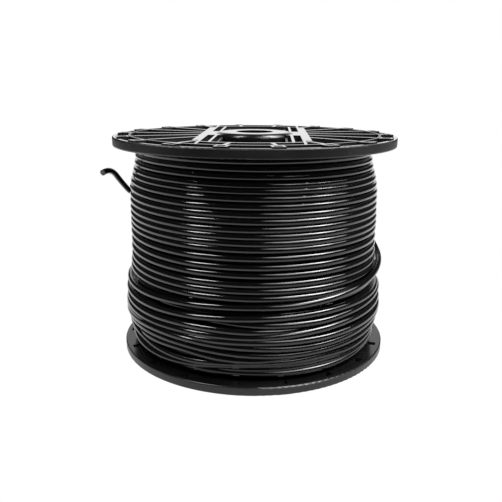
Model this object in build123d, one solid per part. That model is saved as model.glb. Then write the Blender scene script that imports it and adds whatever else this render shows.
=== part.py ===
"""Spool of building wire: a ribbed plastic spool in two moulded halves, its winding and the wire's free end.

Millimetres, +Z up along the spool's axis. The origin is the centre of the face that it stands on.
"""

from build123d import *
import math
import os

# Spool halves, with heights from the face that each stands on: the end of its hub
flange_diameter = 266.7
spool_height = 213.9
face_drop = 1.6
rim_drop = 2.7
rim_height = 8.4
rim_thickness = 3.8
rim_rounding = 1.3
plate_thickness = 2.6
barrel_diameter = 128.0
barrel_wall = 3.6
spigot_length = 6.0
spigot_clearance = 0.15
half_twist = 2.0

# Rim slots in their frames, and the ribs that lead to them
rib_count = 18
rib_thickness = 3.5
rib_draft = 1.5
slot_width = 7.0
slot_length = 7.5
slot_from_rim = 1.0
frame_wall = 2.0
ring_to_slot = 2.6
outer_ring_width = 2.4
ring_spacing = 19.5
inner_ring_width = 3.0

# Hub, the bridge and bars across it, and the strips and low ribs beside it
arbor_diameter = 35.0
hub_diameter = 72.0
hub_depth = 24.0
hub_rounding = 5.0
bridge_width = 44.0
bar_centre = 46.5
bar_width = 7.6
bar_to_ring = 9.9
strip_centre = 34.5
strip_width = 2.4
brace_centre = 43.6
brace_width = 2.4
low_rib_centre = 29.5
low_rib_width = 2.0
low_rib_drop = 2.2

# Wire and its winding
wire_diameter = 6.3
turn_count = 29
layer_count = 9
winding_clearance = 0.25
turn_relief = 1.6
layer_relief = 0.7

# The winding's side: heights, and how far it lies inside the flanges' edge there.
# It is loose and bulged low down, and drawn in at the head.
envelope_stations = [
    (0.0, 9.3),
    (29.0, 8.8),
    (47.0, 4.4),
    (65.0, 6.8),
    (83.0, 12.8),
    (123.0, 13.3),
    (153.0, 14.8),
    (168.0, 15.5),
    (179.0, 19.8),
    (214.0, 21.8),
]

# The wire's free end: where it leaves the winding, then the points of its route
tail_clearance = 0.3
tail_start_angle = 117.5
tail_start_height = 145.7
tail_points = [
    (-124.1, 26.3, 147.5),
    (-131.4, 8.5, 163.1),
    (-138.0, -9.0, 180.5),
    (-142.4, -22.8, 177.5),
]

# Values that follow from those above
flange_radius = flange_diameter / 2
barrel_radius = barrel_diameter / 2
well_radius = barrel_radius - barrel_wall
rim_inside = flange_radius - rim_thickness
wire_side = rim_drop + rim_height
plate_floor = wire_side - plate_thickness
joint_height = spool_height / 2
spoke_angle = 360 / rib_count
slot_outside = rim_inside - slot_from_rim
slot_inside = slot_outside - slot_length
outer_ring_radius = slot_inside - ring_to_slot
inner_ring_radius = outer_ring_radius - ring_spacing
bar_half_length = math.sqrt((inner_ring_radius - bar_to_ring) ** 2 - bar_centre**2)
winding_bore = barrel_radius + winding_clearance
winding_foot = wire_side + winding_clearance
winding_head = spool_height - winding_foot
turn_pitch = (winding_head - winding_foot) / turn_count


def disc(radius, low, high):
    """A cylinder on the axis between two heights."""
    return Pos(0, 0, low) * extrude(Circle(radius), high - low)


def tube(outer, inner, low, high):
    """A ring on the axis between two heights."""
    return disc(outer, low, high) - disc(inner, low - 1, high + 1)


def block(x_range, y_range, z_range):
    """A box between two corners."""
    size = [high - low for low, high in (x_range, y_range, z_range)]
    middle = [(high + low) / 2 for low, high in (x_range, y_range, z_range)]
    return Pos(*middle) * Box(*size)


def flange_shell():
    """The turned part of a half: the rim, the plate under it and the ring rib inside the slots."""
    rim = tube(flange_radius, rim_inside, rim_drop, wire_side)
    outer_edges = [
        edge
        for edge in rim.edges().filter_by(GeomType.CIRCLE)
        if edge.radius > flange_radius - 0.1
    ]
    rim = fillet(outer_edges, rim_rounding)
    plate = disc(rim_inside + rim_thickness / 2, plate_floor, wire_side)
    ring = tube(outer_ring_radius, outer_ring_radius - outer_ring_width, face_drop, wire_side)
    return rim + plate + ring


def barrel_tube(with_spigot):
    """Half of the barrel, from the plate to the joint, with the joint's lip or its seat."""
    seat_radius = barrel_radius - barrel_wall / 2
    tube_half = tube(barrel_radius, well_radius, plate_floor, joint_height)
    if with_spigot:
        lip = seat_radius - spigot_clearance
        return tube_half + tube(lip, well_radius, joint_height - barrel_wall, joint_height + spigot_length)
    return tube_half - disc(seat_radius, joint_height - spigot_length - spigot_clearance, joint_height + 1)


def rib(start, end):
    """One rib along +X between two radii, tapered from the plate to its edge."""
    foot_height = plate_floor + plate_thickness / 2
    foot_half = rib_thickness / 2 + math.tan(math.radians(rib_draft)) * (foot_height - face_drop)
    section = Polyline(
        (-foot_half, foot_height),
        (-rib_thickness / 2, face_drop),
        (rib_thickness / 2, face_drop),
        (foot_half, foot_height),
        close=True,
    )
    plane = Plane(origin=(start, 0, 0), x_dir=(0, 1, 0), z_dir=(1, 0, 0))
    return extrude(plane * make_face(section), end - start)


def slot_frame():
    """The raised frame round one rim slot, on +X, from the ring rib to the rim."""
    half = slot_width / 2 + frame_wall
    span = (outer_ring_radius - 1, rim_inside + rim_thickness / 4)
    return block(span, (-half, half), (face_drop, wire_side))


def slot_cutter():
    """The slot itself, right through the flange."""
    half = slot_width / 2
    return block((slot_inside, slot_outside), (-half, half), (-1, wire_side + 1))


def spoke_angles():
    """The angle of each spoke from +X. The first two stand either side of -Y."""
    return [-90 + spoke_angle * (k + 0.5) for k in range(rib_count)]


def spoke_ribs():
    """A rib on each spoke: from the nearer bar, or in front of the hub from the inner ring, to the outer ring."""
    end = outer_ring_radius - outer_ring_width / 2
    ribs = []
    for angle in spoke_angles():
        to_bar = bar_centre / abs(math.cos(math.radians(angle)))
        start = min(to_bar, inner_ring_radius - inner_ring_width / 2)
        ribs.append(Rot(0, 0, angle) * rib(start, end))
    return ribs


def hub_and_bars():
    """The hub, the bridge from it to the two bars, and the strips, braces and low ribs that run along Y."""
    hub = disc(hub_diameter / 2, 0, hub_depth)
    outer_edges = [e for e in hub.edges().filter_by(GeomType.CIRCLE) if e.center().Z < hub_depth / 2]
    hub = fillet(outer_edges, hub_rounding)
    base = plate_floor + plate_thickness / 2
    bridge = block((-bar_centre, bar_centre), (-bridge_width / 2, bridge_width / 2), (face_drop, base))
    inner_ring = tube(inner_ring_radius, inner_ring_radius - inner_ring_width, face_drop, base)
    between_bars = block((-bar_centre, bar_centre), (-flange_radius, flange_radius), (face_drop, base))
    crossing = hub + bridge + (inner_ring & between_bars)
    inside_outer_ring = disc(outer_ring_radius - outer_ring_width / 2, 0, base)
    inside_inner_ring = disc(inner_ring_radius - inner_ring_width / 2, 0, base)
    bars_and_ribs = [
        (bar_centre, bar_width, bar_half_length, face_drop, inside_outer_ring),
        (brace_centre, brace_width, flange_radius, face_drop, inside_outer_ring),
        (strip_centre, strip_width, flange_radius, face_drop, inside_inner_ring),
        (low_rib_centre, low_rib_width, flange_radius, face_drop + low_rib_drop, inside_inner_ring),
    ]
    for centre, width, half_length, top, limit in bars_and_ribs:
        for middle in (-centre, centre):
            x_range = (middle - width / 2, middle + width / 2)
            crossing += block(x_range, (-half_length, half_length), (top, base)) & limit
    return crossing


def spool_half(with_spigot):
    """One moulded half, standing on its hub."""
    half = flange_shell() + barrel_tube(with_spigot) + hub_and_bars() + spoke_ribs()
    half += [Rot(0, 0, angle) * slot_frame() for angle in spoke_angles()]
    half -= [Rot(0, 0, angle) * slot_cutter() for angle in spoke_angles()]
    half -= disc(arbor_diameter / 2, -1, hub_depth + 1)
    return half


def envelope_radius(height):
    """The winding's outer radius at a height, blended between the stations."""
    for (low, start), (high, end) in zip(envelope_stations, envelope_stations[1:]):
        if height <= high:
            blend = (1 - math.cos(math.pi * (height - low) / (high - low))) / 2
            return flange_radius - (start + (end - start) * blend)
    return flange_radius - envelope_stations[-1][1]


def over_the_wires(corners, crest_of):
    """The points of a row of wires: from each corner over a flat crest and down to the next corner."""
    points = []
    for corner, following in zip(corners, corners[1:]):
        start = Vector(*corner)
        end = Vector(*following)
        rise = Vector(*crest_of(start, end)) - (start + end) / 2
        points += [start, start + (end - start) / 4 + rise, end + (start - end) / 4 + rise]
    return points


def winding():
    """The wound wire as one turned solid: a crest for each turn outside, and one for each layer on the ends."""
    side = []
    for k in range(turn_count + 1):
        height = winding_foot + turn_pitch * k
        height = min(max(height, winding_foot + layer_relief), winding_head - layer_relief)
        side.append((envelope_radius(height) - turn_relief, height))

    def turn_crest(a, b):
        height = (a.Y + b.Y) / 2
        return (envelope_radius(height), height)

    def end_corners(outer_corner):
        pitch = (outer_corner[0] - winding_bore) / layer_count
        return [(winding_bore + pitch * k, outer_corner[1]) for k in range(layer_count + 1)]

    foot_corners = end_corners(side[0])
    head_corners = end_corners(side[-1])
    outline = over_the_wires(foot_corners, lambda a, b: ((a.X + b.X) / 2, winding_foot))
    outline += over_the_wires(side, turn_crest)
    outline += over_the_wires(head_corners[::-1], lambda a, b: ((a.X + b.X) / 2, winding_head))
    outline.append(Vector(*head_corners[0]))
    section = make_face(Plane.XZ * Polyline(*outline, close=True))
    return revolve(section, Axis.Z)


def turn_between(before, corner, after):
    """The angle in degrees by which a route turns at a corner."""
    return (corner - before).get_angle(after - corner)


def tail_route():
    """The free end's points: the first touches the winding, and the first run leaves it at a tangent."""
    centre_radius = envelope_radius(tail_start_height) + wire_diameter / 2 + tail_clearance
    angle = math.radians(tail_start_angle)
    start = (-centre_radius * math.sin(angle), -centre_radius * math.cos(angle), tail_start_height)
    return [Vector(*start)] + [Vector(*point) for point in tail_points]


def free_end():
    """The wire's free end as one tube along its route, with an arc at each corner."""
    points = tail_route()
    radii = []
    for before, corner, after in zip(points, points[1:], points[2:]):
        turn = turn_between(before, corner, after)
        shorter = min((corner - before).length, (after - corner).length)
        radii.append(0.45 * shorter / math.tan(math.radians(turn / 2)))
        print(f"free end: turn {turn:.1f} deg, bend radius {radii[-1]:.1f} mm")
    route = FilletPolyline(*points, radius=radii)
    start_plane = Plane(origin=points[0], z_dir=points[1] - points[0])
    cord = sweep(start_plane * Circle(wire_diameter / 2), path=route)
    print(f"free end: length {route.length:.1f} mm, points in metres:")
    print([tuple(round(value / 1000, 5) for value in point) for point in points])
    expected = math.pi * (wire_diameter / 2) ** 2 * route.length
    print(f"free end: volume {cord.volume:.0f} mm3, section times length {expected:.0f} mm3")
    return cord


os.makedirs("parts", exist_ok=True)

bottom_half = Rot(0, 0, half_twist) * spool_half(with_spigot=True)
top_half = Pos(0, 0, spool_height) * Rot(0, 180, 0) * Rot(0, 0, half_twist) * spool_half(with_spigot=False)

pieces = {
    "spool_half_bottom": bottom_half,
    "spool_half_top": top_half,
    "wire_winding": winding(),
    "wire_free_end": free_end(),
}
for name, shape in pieces.items():
    export_step(shape, f"parts/{name}.step")
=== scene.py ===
"""Spool of building wire: its wound turns, its free end, its moulded plastic halves and a white studio."""

import math

import bpy
from mathutils import Matrix, Vector, noise


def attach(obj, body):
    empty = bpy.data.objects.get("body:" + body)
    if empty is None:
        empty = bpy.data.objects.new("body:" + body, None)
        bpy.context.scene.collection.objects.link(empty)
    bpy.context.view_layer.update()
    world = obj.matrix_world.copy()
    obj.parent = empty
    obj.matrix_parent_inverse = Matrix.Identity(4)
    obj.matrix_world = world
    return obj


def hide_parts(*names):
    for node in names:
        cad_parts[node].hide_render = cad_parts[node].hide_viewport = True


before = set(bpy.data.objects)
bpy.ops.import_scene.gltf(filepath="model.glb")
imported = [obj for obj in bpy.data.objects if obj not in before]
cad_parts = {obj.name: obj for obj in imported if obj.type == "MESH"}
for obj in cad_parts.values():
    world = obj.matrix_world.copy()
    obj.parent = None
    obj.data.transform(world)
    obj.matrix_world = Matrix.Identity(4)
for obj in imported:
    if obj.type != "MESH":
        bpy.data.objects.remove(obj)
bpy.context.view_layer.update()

MM_PER_METRE = 1000

# Sizes in metres, in the frame of the CAD model
WIRE_RADIUS = 0.0031
FREE_END_RADIUS = 0.0028
STRAND_RADIUS = 0.00038
SPOOL_HEIGHT = 0.2139
FLANGE_RADIUS = 0.13335
HUB_RADIUS = 0.0362
OUTER_RING_INSIDE = 0.1135
OUTER_RING_OUTSIDE = 0.1195

# The free end's route: its first point lies against the winding
FREE_END_POINTS = [
    (-0.1084, 0.05643, 0.1457),
    (-0.1241, 0.0263, 0.1475),
    (-0.1314, 0.0085, 0.1631),
    (-0.138, -0.009, 0.1805),
    (-0.1424, -0.0228, 0.1775),
]

# The conductor's strands at the cut, in metres: how many in each layer and the layer's radius
STRAND_LAYERS = [(1, 0.0), (6, 0.00077), (12, 0.00151)]
# Rows of points along a strand, from inside the wire to its end: depth past the cut, share of its radius
STRAND_ROWS = [(-0.0012, 1.0), (0.00012, 1.0), (0.0002, 0.72)]

# Heights in millimetres of the snug turns' centres, at the front, from the head down
SNUG_TURNS = [
    199.0, 192.9, 186.7, 180.5, 175.8, 170.1, 163.7, 157.3, 151.7, 145.3,
    139.6, 133.9, 128.7, 121.3, 113.7, 106.8, 99.1, 93.2, 87.0,
]

# Heights in millimetres of the loose turns below them, at these angles from the front
LOOSE_ANGLES = [-90, -75, -60, -45, -30, -15, 0, 15, 30, 45, 60, 75, 90, 115]
LOOSE_TURNS = [
    [77.5, 76.5, 76.6, 77.4, 78.5, 79.3, 79.8, 80.4, 82.6, 85.4, 88.6, 92.6, 97.5, 110.0],
    [68.5, 67.5, 67.3, 67.8, 68.7, 69.6, 70.5, 70.9, 71.4, 71.3, 70.8, 70.6, 71.0, 72.0],
    [66.0, 66.2, 66.5, 66.8, 66.6, 65.6, 64.6, 64.2, 64.0, 65.0, 66.3, 67.8, 69.0, 68.0],
    [60.5, 59.9, 59.8, 60.1, 60.7, 60.0, 58.8, 58.4, 58.5, 58.9, 59.5, 60.5, 61.0, 61.5],
    [55.5, 54.6, 54.1, 54.1, 54.8, 54.5, 54.1, 55.4, 56.9, 58.0, 58.5, 59.0, 58.5, 57.0],
    [51.0, 50.7, 50.4, 50.0, 49.7, 49.9, 49.9, 49.5, 49.2, 49.7, 50.0, 50.6, 51.5, 51.5],
    [45.5, 46.4, 47.5, 48.8, 47.9, 45.8, 44.2, 42.7, 42.0, 43.0, 44.7, 46.0, 46.0, 45.0],
    [40.5, 41.0, 41.5, 41.9, 41.3, 39.2, 36.8, 35.6, 35.3, 35.5, 36.0, 37.5, 39.0, 39.0],
    [32.0, 32.6, 33.5, 35.2, 36.1, 32.5, 30.9, 31.6, 33.0, 33.6, 33.0, 33.0, 34.0, 34.0],
    [35.0, 34.0, 32.0, 27.1, 25.3, 27.0, 28.3, 28.5, 29.0, 27.2, 27.6, 29.5, 30.5, 29.0],
    [22.0, 20.6, 19.8, 19.5, 21.2, 24.6, 26.7, 25.8, 25.2, 24.6, 24.8, 25.5, 25.5, 24.0],
    [20.5, 19.8, 19.4, 19.2, 19.6, 20.6, 21.6, 21.9, 22.1, 20.4, 21.6, 24.0, 23.0, 20.5],
    [16.5, 16.4, 16.6, 17.2, 18.0, 18.2, 18.1, 17.8, 17.7, 18.0, 19.6, 18.0, 17.0, 16.5],
]

# How far they stand out from the winding there, in millimetres: below zero they lie behind their neighbours
LOOSE_BULGES = [
    [2.0, 1.5, 1.0, 0.5, 0.0, 0.0, 0.0, 1.5, 3.4, 4.6, 5.0, 6.0, 7.2, 7.0],
    [1.0, 1.0, 0.6, 0.3, 0.3, 0.3, 0.3, 0.0, 0.0, 0.0, 0.0, 0.0, 0.5, 0.0],
    [-5.0, -5.0, -5.5, -5.5, -5.0, -3.5, -1.0, 0.0, 0.0, 0.0, 0.5, 1.0, 1.5, 0.0],
    [0.0, 0.5, 0.5, 0.5, 0.6, 0.6, 0.0, -2.4, -4.6, -5.0, -5.0, -4.0, -2.5, 0.0],
    [0.5, 0.5, 0.3, 0.0, 0.0, 0.0, 0.0, 0.3, 0.5, 0.5, 0.5, 0.5, 0.5, 0.0],
    [0.5, 0.3, 0.0, -1.0, -0.8, 0.0, 0.0, 0.0, 0.0, 0.3, 0.3, 0.3, 0.5, 0.0],
    [0.0, 0.5, 0.6, 1.0, 0.8, 0.3, 0.0, 0.0, 0.0, 0.0, 0.0, 0.3, 0.3, 0.0],
    [0.0, 0.0, 0.0, 0.0, 0.0, 0.3, 0.5, 0.5, 0.6, 0.6, 0.6, 0.5, 0.3, 0.0],
    [-2.0, -1.5, -1.0, 0.0, 0.4, 0.4, 0.0, -2.0, -4.0, -4.6, -4.2, -4.0, -3.0, -1.0],
    [0.5, 1.0, 1.2, 0.8, 0.4, 0.3, 0.0, 0.0, 0.3, 0.4, 0.4, 0.4, 0.0, 0.0],
    [0.0, 0.0, 0.3, 0.3, 0.3, 0.0, 0.0, -0.6, -1.0, -2.0, -3.0, -3.0, -2.0, 0.0],
    [-3.0, -4.0, -5.0, -5.0, -4.5, -3.0, -1.5, -1.0, -1.0, -0.8, 0.0, 0.3, 0.0, -1.0],
    [-2.0, -2.0, -2.0, -2.0, -2.0, -1.5, -1.0, 0.0, 0.3, 0.3, 0.0, -1.0, -2.0, -2.0],
]

# Height and outer radius of the winding, in millimetres
WINDING_STATIONS = [
    (0.0, 124.0), (29.0, 124.5), (47.0, 128.8), (57.0, 128.2), (69.0, 126.6), (81.0, 124.4),
    (92.0, 122.2), (110.0, 120.8), (140.0, 120.3), (158.0, 119.6), (170.0, 118.4),
    (180.0, 115.8), (190.0, 113.4), (214.0, 112.4),
]

# How far to the side the winding sits off the axis, in metres
WINDING_SHIFT = -0.0007

# In millimetres: the room that the outer layer keeps inside the rims, and how far its wire strays
RIM_MARGIN = 1.0
WANDER = 0.4

# The bedding layer in millimetres: how far inside it lies, and its first and last heights
BEDDING_SINK = 5.2
BEDDING_TOP = 198.6
BEDDING_FOOT = 15.2
BEDDING_TURNS = 29

# The turn that the free end leaves by: how far round it runs, and how far in and down it starts, in metres
LEAVING_SWEEP = math.radians(70)
LEAVING_SINK = 0.0072
LEAVING_DROP = 0.0004

# How finely the wires are drawn: stops for each turn, or for the leaving turn, and sides round the wire
OUTER_STEPS = 200
BEDDING_STEPS = 96
LEAVING_STEPS = 60
OUTER_SIDES = 12
BEDDING_SIDES = 8
STRAND_SIDES = 10

# Camera, from the outlines of the rims in the photograph
CAMERA_PLACE = (-0.00275, -0.58903, 0.2571)
CAMERA_PITCH = math.radians(70.21)
CAMERA_ROLL = 0.005
CAMERA_LENS = 42.79
CAMERA_SHIFT = 0.0936

# Lamps: name, angle from the front and elevation in degrees, distance, width and height in metres, and watts
LAMPS = [
    ("narrow_left", -66, 55, 1.3, 0.2, 0.6, 8),
    ("wide_right", 66, 52, 1.3, 1.5, 0.8, 19),
    ("core_right", 78, 55, 1.29, 0.34, 0.8, 17),
]

# White paper in metres: half its width, its front and back edges, and its top
PAPER_HALF_WIDTH = 1.3
PAPER_FRONT = -0.34
PAPER_BACK = 2.6
PAPER_TOP = 1.6


class Amount:
    """A number in a material, with arithmetic that adds Math nodes."""

    def __init__(self, finish, socket):
        self.finish = finish
        self.socket = socket

    def __add__(self, other):
        return self.finish.math("ADD", self, other)

    def __radd__(self, other):
        return self.finish.math("ADD", other, self)

    def __sub__(self, other):
        return self.finish.math("SUBTRACT", self, other)

    def __rsub__(self, other):
        return self.finish.math("SUBTRACT", other, self)

    def __mul__(self, other):
        return self.finish.math("MULTIPLY", self, other)

    def __rmul__(self, other):
        return self.finish.math("MULTIPLY", other, self)

    def magnitude(self):
        """The number without its sign."""
        return self.finish.math("ABSOLUTE", self)

    def root(self):
        """The square root."""
        return self.finish.math("POWER", self, 0.5)

    def ramp(self, low, high):
        """0 below low, 1 above high, and smooth between them."""
        made = self.finish.node(
            "ShaderNodeMapRange",
            {"interpolation_type": "SMOOTHSTEP"},
            {"Value": self, "From Min": low, "From Max": high},
        )
        return Amount(self.finish, made.outputs["Result"])


class Finish:
    """A material built from nodes round one Principled shader."""

    def __init__(self, name, **constants):
        self.material = bpy.data.materials.new(name)
        self.material.use_nodes = True
        self.tree = self.material.node_tree
        self.shader = self.tree.nodes["Principled BSDF"]
        for socket, value in constants.items():
            self.shader.inputs[socket.replace("_", " ")].default_value = value
        places = self.node("ShaderNodeTexCoord")
        self.place = places.outputs["Object"]
        parts = self.node("ShaderNodeSeparateXYZ", {}, {0: self.place})
        self.x, self.y, self.z = [Amount(self, socket) for socket in parts.outputs]

    def node(self, kind, settings=None, values=None):
        """Any node: its type, then its settings, then its sockets' values or links."""
        made = self.tree.nodes.new(kind)
        for name, value in (settings or {}).items():
            setattr(made, name, value)
        for key, value in (values or {}).items():
            self.feed(made.inputs[key], value)
        return made

    def math(self, operation, first, second=0.0):
        """A Math node's result."""
        made = self.node("ShaderNodeMath", {"operation": operation}, {0: first, 1: second})
        return Amount(self, made.outputs[0])

    def feed(self, socket, value):
        """Sets a socket to a value, or links it to an amount or another socket."""
        if isinstance(value, Amount):
            value = value.socket
        if isinstance(value, bpy.types.NodeSocket):
            self.tree.links.new(value, socket)
        else:
            socket.default_value = value

    def set(self, **values):
        """Feeds the shader's sockets."""
        for name, value in values.items():
            self.feed(self.shader.inputs[name.replace("_", " ")], value)

    def grain(self, scale, detail=3.0, roughness=0.55, place=None):
        """Noise between 0 and 1."""
        values = {"Vector": place or self.place, "Scale": scale, "Detail": detail, "Roughness": roughness}
        made = self.node("ShaderNodeTexNoise", {}, values)
        return Amount(self, made.outputs["Fac"])

    def blend(self, amount, first, second):
        """A colour between two colours."""
        made = self.node("ShaderNodeMix", {"data_type": "RGBA"}, {"Factor": amount})
        self.feed(made.inputs[6], first)
        self.feed(made.inputs[7], second)
        return made.outputs[2]

    def bump(self, height, depth, strength=1.0):
        """A normal from a height between 0 and 1 and its depth in metres."""
        values = {"Height": height, "Distance": depth, "Strength": strength}
        return self.node("ShaderNodeBump", {}, values).outputs["Normal"]

    def from_axis(self):
        """The distance from the spool's axis."""
        return (self.x * self.x + self.y * self.y).root()

    def round_the_axis(self, along, across):
        """Coordinates that follow the wire: stretched round the spool's axis, tight across it."""
        angle = self.math("ARCTAN2", self.y, self.x)
        values = {0: angle * along, 1: self.from_axis() * across, 2: self.z * across}
        return self.node("ShaderNodeCombineXYZ", {}, values).outputs[0]


def wire_jacket():
    """Glossy black jacket: faint streaks along it, dust, a little waviness, and a rubbed finish low down."""
    finish = Finish("wire_jacket", IOR=1.5, Coat_IOR=1.5, Coat_Roughness=0.06)
    along = finish.round_the_axis(2.2, 190.0)
    streaks = finish.grain(1.0, 4.0, 0.6, along)
    dust = finish.grain(1400.0, 2.0, 0.6).ramp(0.62, 0.78)
    patches = finish.grain(26.0, 3.0).ramp(0.42, 0.7)
    scuffs = streaks.ramp(0.56, 0.74) * patches
    colour = finish.blend(scuffs * 0.5 + dust * 0.25, (0.0025, 0.0025, 0.0028, 1), (0.022, 0.022, 0.023, 1))
    ripples = finish.grain(1.0, 2.0, 0.5, finish.round_the_axis(9.0, 60.0))
    low_down = 1.0 - finish.z.ramp(0.044, 0.056)
    rubbed = low_down * (0.4 + patches * 0.6)
    finish.set(
        Base_Color=colour,
        Roughness=0.1 + streaks * 0.05 + scuffs * 0.14 + dust * 0.1 + rubbed * 0.12,
        Coat_Weight=0.3 - scuffs * 0.2 - rubbed * 0.2,
        Normal=finish.bump(ripples * 0.7 + streaks * 0.3, 0.00022),
    )
    return finish.material


def moulded_plastic():
    """Satin black plastic: mould texture, flow marks, wear on the rims, polish on the outermost faces, and
    painted shade darkening the flanges' inner faces, the hub and, less, the bottom flange's outer faces.
    """
    finish = Finish("spool_plastic", IOR=1.5, Coat_Roughness=0.04)
    flow = finish.grain(16.0, 4.0, 0.6)
    texture = finish.grain(900.0, 3.0, 0.6)
    specks = finish.grain(420.0, 2.0, 0.5).ramp(0.66, 0.74)
    radius = finish.from_axis()
    middle = SPOOL_HEIGHT / 2
    from_middle = (finish.z - middle).magnitude()

    # Where on the spool: the rim's outer wall and its edge, the hub, the outer ring, the sides, the outside
    rim_wall = radius.ramp(FLANGE_RADIUS - 0.0016, FLANGE_RADIUS - 0.0003)
    rim_edge = from_middle.ramp(middle - 0.0046, middle - 0.0032) * rim_wall
    hub = 1.0 - radius.ramp(HUB_RADIUS, HUB_RADIUS + 0.0004)
    ring_inside = radius.ramp(OUTER_RING_INSIDE, OUTER_RING_INSIDE + 0.0005)
    ring = ring_inside * (1.0 - radius.ramp(OUTER_RING_OUTSIDE, OUTER_RING_OUTSIDE + 0.0005))
    sideways = finish.x.magnitude().ramp(0.05, 0.09)
    outside = from_middle.ramp(middle - 0.0109, middle - 0.0105)

    # The outermost faces are polished, less so on the ring at the sides
    flange_face = from_middle.ramp(middle - 0.00292, middle - 0.00276)
    hub_face = from_middle.ramp(middle - 0.0005, middle - 0.0001)
    polished = flange_face * (1.0 - hub) * (1.0 - ring * sideways * 0.8) + hub_face * hub

    scrapes = finish.grain(1.0, 4.0, 0.65, finish.round_the_axis(14.0, 420.0)).ramp(0.52, 0.72)
    wear = rim_edge * scrapes
    # Painted shade: the flanges' inner faces and the hub are darkened towards near black, the bottom
    # flange's outer faces less so, the top flange's outer faces not at all.
    painted_shade = 1.0 - outside * (0.6 + finish.z.ramp(0.02, 0.1) * 0.4) * (1.0 - hub)
    faded = flow.ramp(0.35, 0.75)
    colour = finish.blend(faded, (0.009, 0.009, 0.0093, 1), (0.021, 0.021, 0.0214, 1))
    # The painted shade darkens the colour here.
    colour = finish.blend(painted_shade * 0.8, colour, (0.003, 0.003, 0.0032, 1))
    colour = finish.blend(wear * 0.4 + specks * 0.15, colour, (0.07, 0.07, 0.07, 1))
    dull = outside * (0.2 - hub * 0.14) - polished * (0.3 - hub * 0.14)
    finish.set(
        Base_Color=colour,
        Roughness=0.16 + dull + texture * 0.06 + wear * 0.2,
        Coat_Weight=polished * 0.7,
        Normal=finish.bump(texture * 0.3 + flow * 0.7 - wear * 0.4, 0.000008),
    )
    return finish.material


def cut_metal():
    """Drawn conductor strands, dull where the cutter has pulled across them."""
    finish = Finish("cut_conductor", Metallic=1.0)
    drag = finish.grain(1700.0, 3.0, 0.6)
    colour = finish.blend(drag.ramp(0.35, 0.7), (0.2, 0.2, 0.2, 1), (0.36, 0.36, 0.36, 1))
    finish.set(Base_Color=colour, Roughness=0.34 + drag * 0.2, Normal=finish.bump(drag, 0.00006))
    return finish.material


def mesh_piece(name, points, faces, material):
    """A smooth mesh object from points and faces."""
    mesh = bpy.data.meshes.new(name)
    mesh.from_pydata(points, [], faces)
    mesh.materials.append(material)
    mesh.polygons.foreach_set("use_smooth", [True] * len(mesh.polygons))
    mesh.update()
    piece = bpy.data.objects.new(name, mesh)
    bpy.context.collection.objects.link(piece)
    return piece


def between(stations, where):
    """A value on a smooth curve through the stations, which are (place, value) pairs in rising order."""
    if where <= stations[0][0]:
        return stations[0][1]
    for k in range(len(stations) - 1):
        low, start = stations[k]
        high, end = stations[k + 1]
        if where <= high:
            before = stations[max(k - 1, 0)]
            after = stations[min(k + 2, len(stations) - 1)]
            span = high - low
            slope_in = (end - before[1]) / (high - before[0])
            slope_out = (after[1] - start) / (after[0] - low)
            t = (where - low) / span
            rise = (end - start) * t * t * (3 - 2 * t)
            return start + rise + span * t * (1 - t) * (slope_in * (1 - t) - slope_out * t)
    return stations[-1][1]


def ring_about(centre, angle, height, wire_radius, sides):
    """The points of the wire's round section at one place on its way round the axis."""
    points = []
    for side in range(sides):
        turn = 2 * math.pi * side / sides
        radius = centre + wire_radius * math.cos(turn)
        rise = height + wire_radius * math.sin(turn)
        points.append((radius * math.sin(angle) + WINDING_SHIFT, -radius * math.cos(angle), rise))
    return points


def wound_tube(stops, wire_radius, sides):
    """Points and faces of a wire that passes through the stops, each a radius, an angle and a height."""
    points = []
    faces = []
    for radius, angle, height in stops:
        points += ring_about(radius, angle, height, wire_radius, sides)
    for stop in range(len(stops) - 1):
        for side in range(sides):
            here = stop * sides + side
            beside = stop * sides + (side + 1) % sides
            faces.append((here, here + sides, beside + sides, beside))
    faces.append(tuple(range(sides)))
    last = (len(stops) - 1) * sides
    faces.append(tuple(last + side for side in reversed(range(sides))))
    return points, faces


def turn_levels():
    """Each turn's height at the front, from the head down."""
    front = LOOSE_ANGLES.index(0)
    return SNUG_TURNS + [heights[front] for heights in LOOSE_TURNS]


def turn_heights(turn):
    """One turn's heights by angle, from the back round the front to the back again."""
    levels = turn_levels()
    above = levels[max(turn - 1, 0)]
    below = levels[min(turn + 1, len(levels) - 1)]
    here = levels[turn]
    start = (-180, (above + here) / 2)
    end = (180, (here + below) / 2)
    loose = turn - len(SNUG_TURNS)
    if loose >= 0:
        return [start] + list(zip(LOOSE_ANGLES, LOOSE_TURNS[loose])) + [end]
    return [start, (0, here), end]


def turn_bulges(turn):
    """How far one turn stands out by angle, from the back round the front to the back again."""
    loose = turn - len(SNUG_TURNS)
    if loose >= 0:
        return [(-180, 0.0)] + list(zip(LOOSE_ANGLES, LOOSE_BULGES[loose])) + [(180, 0.0)]
    return [(-180, 0.0), (180, 0.0)]


def centre_radius(height):
    """How far from the axis, in millimetres, a wire's centre lies in the outer layer at a height."""
    return between(WINDING_STATIONS, height) - MM_PER_METRE * WIRE_RADIUS


def outer_layer_stops():
    """The outer layer as one helix that starts at the back: snug turns, then the loose ones to the foot."""
    inside_rim = MM_PER_METRE * (FLANGE_RADIUS - WIRE_RADIUS) - RIM_MARGIN
    stops = []
    for turn in range(len(turn_levels())):
        heights = turn_heights(turn)
        bulges = turn_bulges(turn)
        for step in range(OUTER_STEPS):
            angle = -180 + 360 * step / OUTER_STEPS
            along = turn + step / OUTER_STEPS
            height = between(heights, angle)
            wander = noise.noise(Vector((along * 6.0, 3.1, 0.0))) * WANDER
            swell = noise.noise(Vector((along * 4.1, 9.7, 2.0))) * WANDER
            radius = min(centre_radius(height) + between(bulges, angle) + swell, inside_rim)
            rise = (height + wander) / MM_PER_METRE
            stops.append((radius / MM_PER_METRE, math.radians(angle), rise))
    return stops


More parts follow.
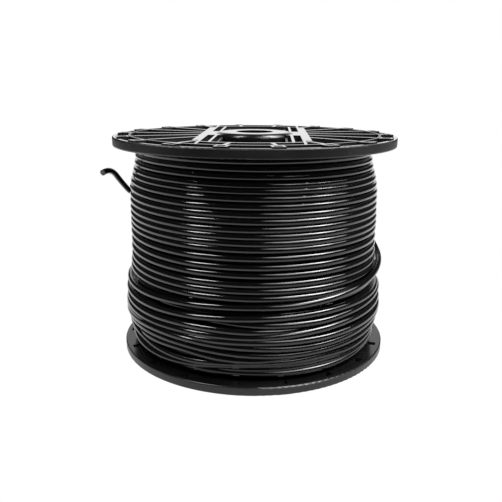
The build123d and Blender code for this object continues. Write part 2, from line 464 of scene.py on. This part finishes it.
def bedding_stops():
    """A plain helix a little inside the outer layer, which closes the gaps between its turns."""
    stops = []
    for step in range(BEDDING_TURNS * BEDDING_STEPS + 1):
        turns = step / BEDDING_STEPS
        height = BEDDING_TOP + (BEDDING_FOOT - BEDDING_TOP) * turns / BEDDING_TURNS
        radius = centre_radius(height) - BEDDING_SINK
        angle = 2 * math.pi * (turns % 1.0)
        stops.append((radius / MM_PER_METRE, angle, height / MM_PER_METRE))
    return stops


def leaving_stops():
    """The turn that comes up through the outer layer to where the free end starts."""
    start = Vector(FREE_END_POINTS[0])
    start_radius = math.hypot(start.x, start.y)
    start_angle = math.atan2(start.x, -start.y)
    stops = []
    for step in range(LEAVING_STEPS + 1):
        to_go = 1 - step / LEAVING_STEPS
        radius = start_radius - LEAVING_SINK * to_go ** 2
        height = start.z - LEAVING_DROP * to_go
        stops.append((radius, start_angle - LEAVING_SWEEP * to_go, height))
    return stops


def winding(jacket):
    """The wound wire: its outer layer, the layer under it, and the turn that the free end leaves by."""
    outer_wire = wound_tube(outer_layer_stops(), WIRE_RADIUS, OUTER_SIDES)
    bedding_wire = wound_tube(bedding_stops(), WIRE_RADIUS, BEDDING_SIDES)
    leaving_wire = wound_tube(leaving_stops(), FREE_END_RADIUS, OUTER_SIDES)
    outer = mesh_piece("wound_turns", *outer_wire, jacket)
    bedding = mesh_piece("bedding_turns", *bedding_wire, jacket)
    leaving = mesh_piece("leaving_turn", *leaving_wire, jacket)
    for piece in (outer, bedding, leaving):
        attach(piece, "root")
    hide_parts("wire_winding")


def free_end(jacket):
    """The wire's free end as a smooth cord, with its conductor's strands at the cut."""
    curve = bpy.data.curves.new("free_end", "CURVE")
    curve.dimensions = "3D"
    curve.bevel_depth = FREE_END_RADIUS
    curve.bevel_resolution = 6
    curve.resolution_u = 24
    curve.use_fill_caps = True
    spline = curve.splines.new("NURBS")
    spline.points.add(len(FREE_END_POINTS) - 1)
    for point, place in zip(spline.points, FREE_END_POINTS):
        point.co = (*place, 1.0)
    spline.order_u = 3
    spline.use_endpoint_u = True
    curve.materials.append(jacket)
    cord = bpy.data.objects.new("free_end", curve)
    bpy.context.collection.objects.link(cord)
    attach(cord, "root")
    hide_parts("wire_free_end")
    strands = cut_strands()
    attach(strands, "root")


def cut_strands():
    """The conductor's strands at the cut: one in the middle, six round it and twelve round those."""
    tip = Vector(FREE_END_POINTS[-1])
    out = (tip - Vector(FREE_END_POINTS[-2])).normalized()
    side = out.cross(Vector((0, 0, 1))).normalized()
    up = side.cross(out)
    sides = STRAND_SIDES

    def around(angle, reach):
        return (side * math.cos(angle) + up * math.sin(angle)) * reach

    points = []
    faces = []
    for count, layer in STRAND_LAYERS:
        for strand in range(count):
            centre = tip + around(2 * math.pi * strand / count, layer)
            first = len(points)
            for depth, share in STRAND_ROWS:
                for k in range(sides):
                    reach = around(2 * math.pi * k / sides, STRAND_RADIUS * share)
                    points.append(tuple(centre + reach + out * depth))
            last = len(points) - sides
            for row in range(first, last, sides):
                for k in range(sides):
                    here = row + k
                    beside = row + (k + 1) % sides
                    faces.append((here, beside, beside + sides, here + sides))
            faces.append(tuple(last + k for k in range(sides)))
            faces.append(tuple(first + k for k in reversed(range(sides))))
    return mesh_piece("cut_strands", points, faces, cut_metal())


def dress_spool():
    """The two moulded halves keep their CAD shape and take the plastic."""
    plastic = moulded_plastic()
    for name in ("spool_half_bottom", "spool_half_top"):
        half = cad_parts[name]
        half.data.materials.clear()
        half.data.materials.append(plastic)


def plane(name, corners, material):
    """A four-cornered sheet for the studio."""
    mesh = bpy.data.meshes.new(name)
    mesh.from_pydata(corners, [], [(0, 1, 2, 3)])
    mesh.materials.append(material)
    sheet = bpy.data.objects.new(name, mesh)
    bpy.context.collection.objects.link(sheet)
    return sheet


def studio_white():
    """White paper that shows as plain white to the camera and in reflections."""
    finish = Finish("studio_white", Base_Color=(0.8, 0.8, 0.8, 1), Roughness=0.9)
    path = finish.node("ShaderNodeLightPath")
    camera = Amount(finish, path.outputs["Is Camera Ray"])
    seen = finish.math("MAXIMUM", camera, path.outputs["Is Glossy Ray"])
    seen = finish.math("MAXIMUM", seen, path.outputs["Is Transmission Ray"])
    glow = finish.node("ShaderNodeEmission", {}, {"Color": (1, 1, 1, 1), "Strength": 1.0})
    mixed = finish.node("ShaderNodeMixShader", {}, {0: seen})
    finish.feed(mixed.inputs[1], finish.shader.outputs[0])
    finish.feed(mixed.inputs[2], glow.outputs[0])
    finish.feed(finish.tree.nodes["Material Output"].inputs["Surface"], mixed.outputs[0])
    return finish.material


def softbox(name, azimuth, elevation, distance, width, height, power):
    """A flat lamp that faces the spool, placed by its angle from the front."""
    lamp = bpy.data.lights.new(name, "AREA")
    lamp.shape = "RECTANGLE"
    lamp.size = width
    lamp.size_y = height
    lamp.energy = power
    holder = bpy.data.objects.new(name, lamp)
    bpy.context.collection.objects.link(holder)
    aim = Vector((0, 0, SPOOL_HEIGHT / 2))
    level = distance * math.cos(math.radians(elevation))
    turn = math.radians(azimuth)
    rise = distance * math.sin(math.radians(elevation))
    offset = Vector((level * math.sin(turn), -level * math.cos(turn), rise))
    holder.location = aim + offset
    holder.rotation_euler = (-offset).to_track_quat("-Z", "Y").to_euler()


def room():
    """A dark room round the paper, and plain white where the camera looks past it."""
    world = bpy.data.worlds.new("room")
    world.use_nodes = True
    tree = world.node_tree
    dark = tree.nodes["Background"]
    dark.inputs["Color"].default_value = (0.03, 0.03, 0.03, 1)
    white = tree.nodes.new("ShaderNodeBackground")
    white.inputs["Color"].default_value = (1, 1, 1, 1)
    path = tree.nodes.new("ShaderNodeLightPath")
    mixed = tree.nodes.new("ShaderNodeMixShader")
    tree.links.new(path.outputs["Is Camera Ray"], mixed.inputs[0])
    tree.links.new(dark.outputs[0], mixed.inputs[1])
    tree.links.new(white.outputs[0], mixed.inputs[2])
    tree.links.new(mixed.outputs[0], tree.nodes["World Output"].inputs["Surface"])
    bpy.context.scene.world = world


def studio():
    """White paper under and behind the spool, the room round it, a lamp on the left and two on the right."""
    white = studio_white()
    left, right = -PAPER_HALF_WIDTH, PAPER_HALF_WIDTH
    front, back, top = PAPER_FRONT, PAPER_BACK, PAPER_TOP
    plane("floor", [(left, front, 0), (right, front, 0), (right, back, 0), (left, back, 0)], white)
    plane("backdrop", [(left, back, 0), (right, back, 0), (right, back, top), (left, back, top)], white)
    room()
    for lamp in LAMPS:
        softbox(*lamp)


def camera():
    """The photograph's viewpoint."""
    lens = bpy.data.cameras.new("camera")
    lens.lens = CAMERA_LENS
    lens.sensor_width = 36.0
    lens.shift_y = CAMERA_SHIFT
    lens.clip_end = 50.0
    holder = bpy.data.objects.new("camera", lens)
    bpy.context.collection.objects.link(holder)
    turn = Matrix.Rotation(CAMERA_PITCH, 4, "X") @ Matrix.Rotation(CAMERA_ROLL, 4, "Z")
    holder.matrix_world = Matrix.Translation(CAMERA_PLACE) @ turn
    bpy.context.scene.camera = holder


camera()
jacket = wire_jacket()
winding(jacket)
free_end(jacket)
dress_spool()
studio()
bpy.context.scene.view_settings.view_transform = "Standard"
